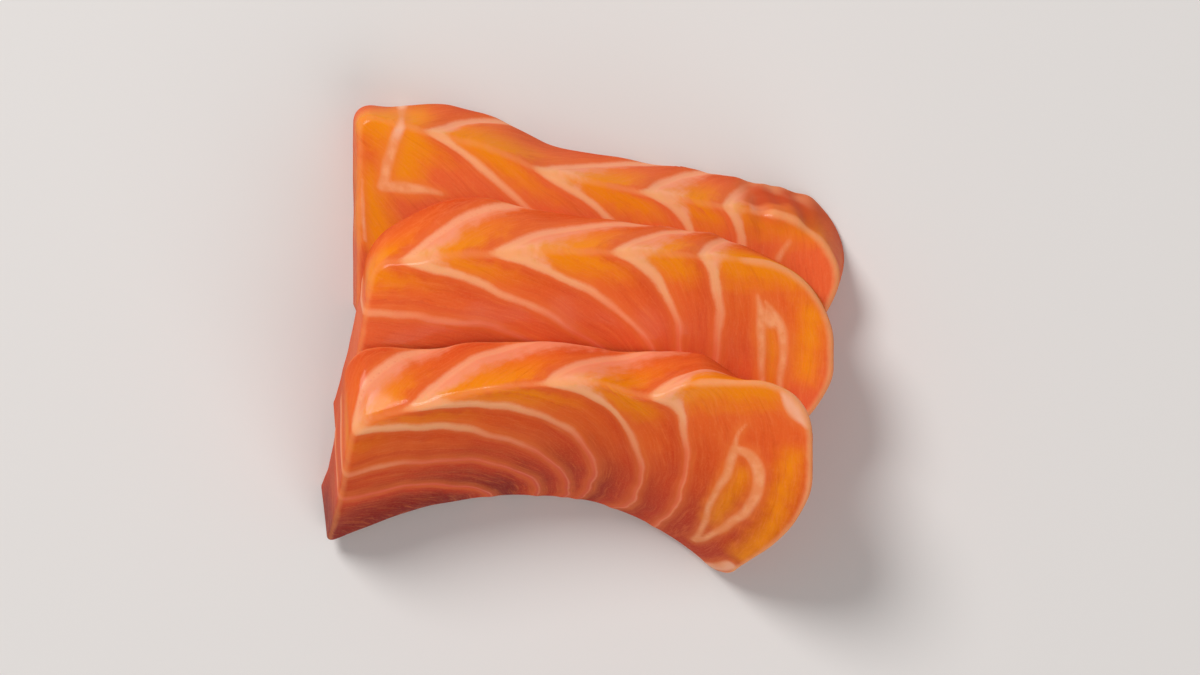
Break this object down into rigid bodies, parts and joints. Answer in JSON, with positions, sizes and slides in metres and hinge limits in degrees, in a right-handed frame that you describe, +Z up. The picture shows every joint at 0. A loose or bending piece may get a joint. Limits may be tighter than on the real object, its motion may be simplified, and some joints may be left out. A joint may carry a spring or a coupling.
{
  "type": "salmon sashimi",
  "caption": "Raw salmon sashimi: a short row of thick slices, each leaning on the one behind it, with pale fat lines.",
  "frame": {"origin": "centre of the bounding box at the plate surface that the slices rest on", "axes": "+Z up from the plate, +X along the slices to their rounded ends, +Y back to the skin side of the slices"},
  "size_m": [0.065, 0.0584, 0.0225],
  "materials": {
    "salmon_flesh": "moist raw salmon, orange flesh with pale fat lines"
  },
  "bodies": {
    "root": {"slice_back": "salmon_flesh", "slice_middle": "salmon_flesh", "slice_front": "salmon_flesh"}
  },
  "joints": []
}
